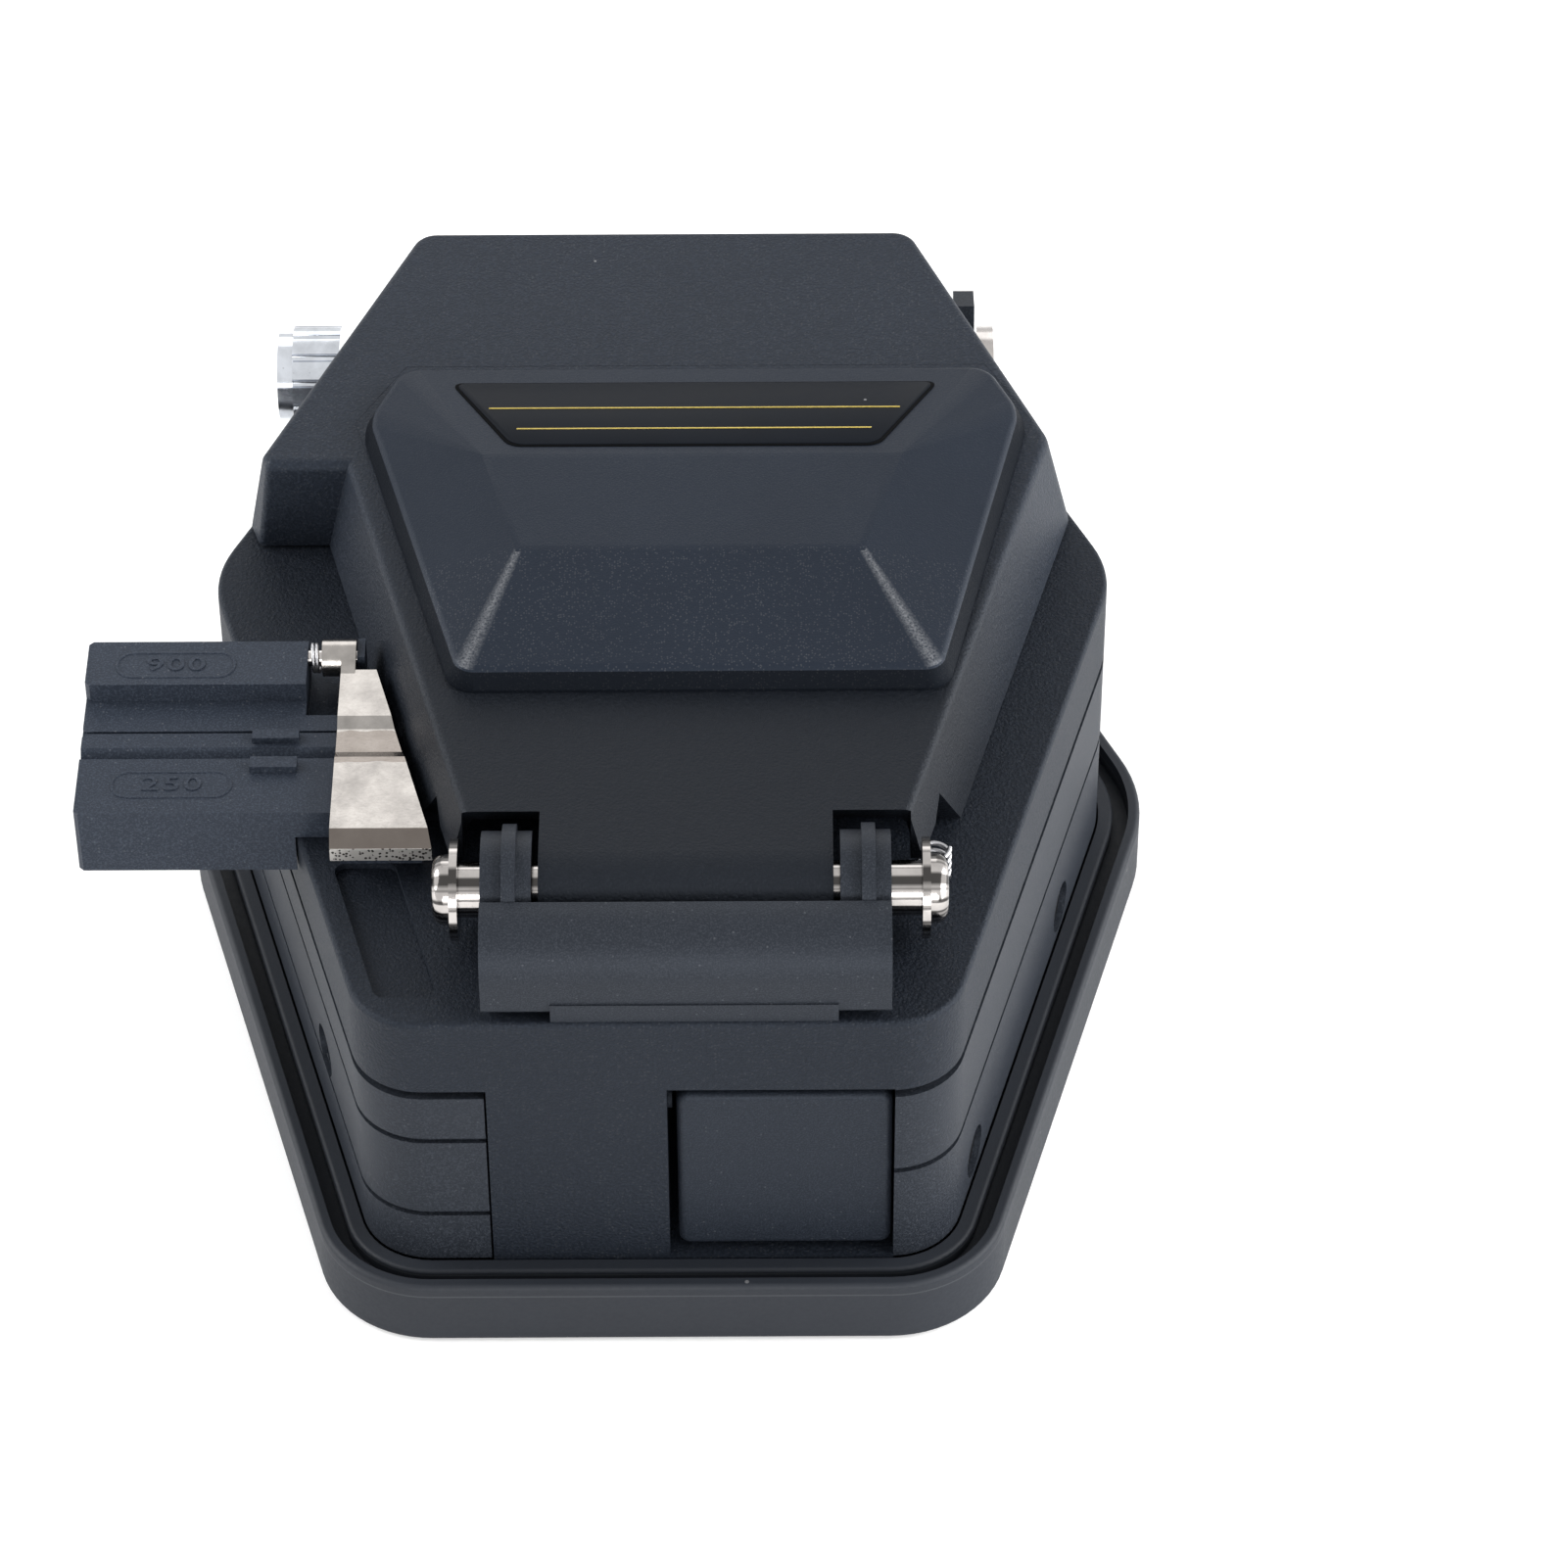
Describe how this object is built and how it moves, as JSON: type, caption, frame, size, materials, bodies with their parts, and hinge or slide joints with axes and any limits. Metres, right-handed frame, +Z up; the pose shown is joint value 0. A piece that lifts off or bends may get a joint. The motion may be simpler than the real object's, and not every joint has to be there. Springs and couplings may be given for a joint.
{
  "type": "optical fibre cleaver",
  "caption": "Bench tool that scores and breaks glass fibre: hinged faceted lid over a sliding disc blade, side fibre holder with a small clamp, rubber foot.",
  "frame": {"origin": "centre of the rubber foot's underside, in the plane it stands on", "axes": "+Z up, +X to the user's right, +Y away from the user, towards the lid's free edge"},
  "size_m": [0.0977, 0.1072, 0.0513],
  "materials": {
    "foot_rubber": "moulded matte rubber",
    "body_black": "fine textured blue-black coat on cast alloy",
    "cover_black": "fine sparkle grain",
    "bracket_black": "satin coat",
    "lid_black": "fine sparkle coat",
    "cap_black": "fine sparkle grain",
    "holder_black": "moulded, fine grain",
    "slider_blue": "satin coat",
    "pad_rubber": "smooth",
    "bare_aluminium": "machined",
    "steel": "ground",
    "nickel": "bright nickel plate"
  },
  "bodies": {
    "base": {"rubber_foot": "foot_rubber", "base_plate": "body_black", "base_screws": "steel", "main_body": "body_black", "left_cover": "cover_black", "right_cover": "cover_black", "cover_screws": "steel", "hinge_bracket": "bracket_black", "hinge_pin": "nickel", "hinge_washers": "nickel", "hinge_screws": "nickel", "fibre_holder": "holder_black", "holder_screws": "steel", "clamp_pin": "nickel", "clamp_spring": "steel", "lower_left_rest": "body_black", "lower_left_rubber": "pad_rubber", "lower_right_rest": "body_black", "lower_right_rubber": "pad_rubber", "rest_screws": "steel", "slide_rail": "steel", "rail_screws": "steel", "catch_stud": "nickel", "lift_spring": "steel", "stop_screw": "steel"},
    "lid": {"lid": "lid_black", "lid_cap": "cap_black", "inner_plate": "bare_aluminium", "plate_screws": "steel", "upper_left_clamp": "body_black", "upper_left_rubber": "pad_rubber", "upper_right_clamp": "body_black", "upper_right_rubber": "pad_rubber", "lid_magnet": "nickel"},
    "anvil_slide": {"anvil": "nickel", "anvil_tip": "pad_rubber"},
    "carriage": {"push_block": "slider_blue", "carriage": "bare_aluminium", "rail_block": "steel"},
    "blade": {"blade": "steel", "blade_hub": "steel", "blade_nut": "steel"},
    "clamp": {"clamp_plate": "nickel", "clamp_rubber": "pad_rubber"},
    "rear_shaft": {"lock_shaft": "nickel", "lock_knob": "nickel", "lock_disc": "nickel", "lock_tab": "cover_black"}
  },
  "joints": [
    {"name": "lid_hinge", "type": "hinge", "parent": "base", "child": "lid", "pos_m": [0.0029, -0.0386, 0.042], "axis": [1, 0, 0], "range_deg": [0, 90], "deforming": ["lift_spring"]},
    {"name": "anvil_give", "type": "slide", "parent": "lid", "child": "anvil_slide", "axis": [0, 0, 1], "range_m": [0, 0.0005], "stiffness_N_per_m": 15, "springref_m": -0.0003},
    {"name": "carriage_slide", "type": "slide", "parent": "base", "child": "carriage", "axis": [0, 1, 0], "range_m": [0, 0.024]},
    {"name": "blade_turn", "type": "hinge", "parent": "carriage", "child": "blade", "pos_m": [0.01125, -0.03, 0.0308], "axis": [1, 0, 0], "continuous": true},
    {"name": "clamp_hinge", "type": "hinge", "parent": "base", "child": "clamp", "pos_m": [-0.0294, -0.0066, 0.0403], "axis": [-1, 0, 0], "range_deg": [0, 100], "deforming": ["clamp_spring"]},
    {"name": "rear_shaft_turn", "type": "hinge", "parent": "base", "child": "rear_shaft", "pos_m": [0, 0.044, 0.032], "axis": [-1, 0, 0], "range_deg": [0, 45]}
  ]
}
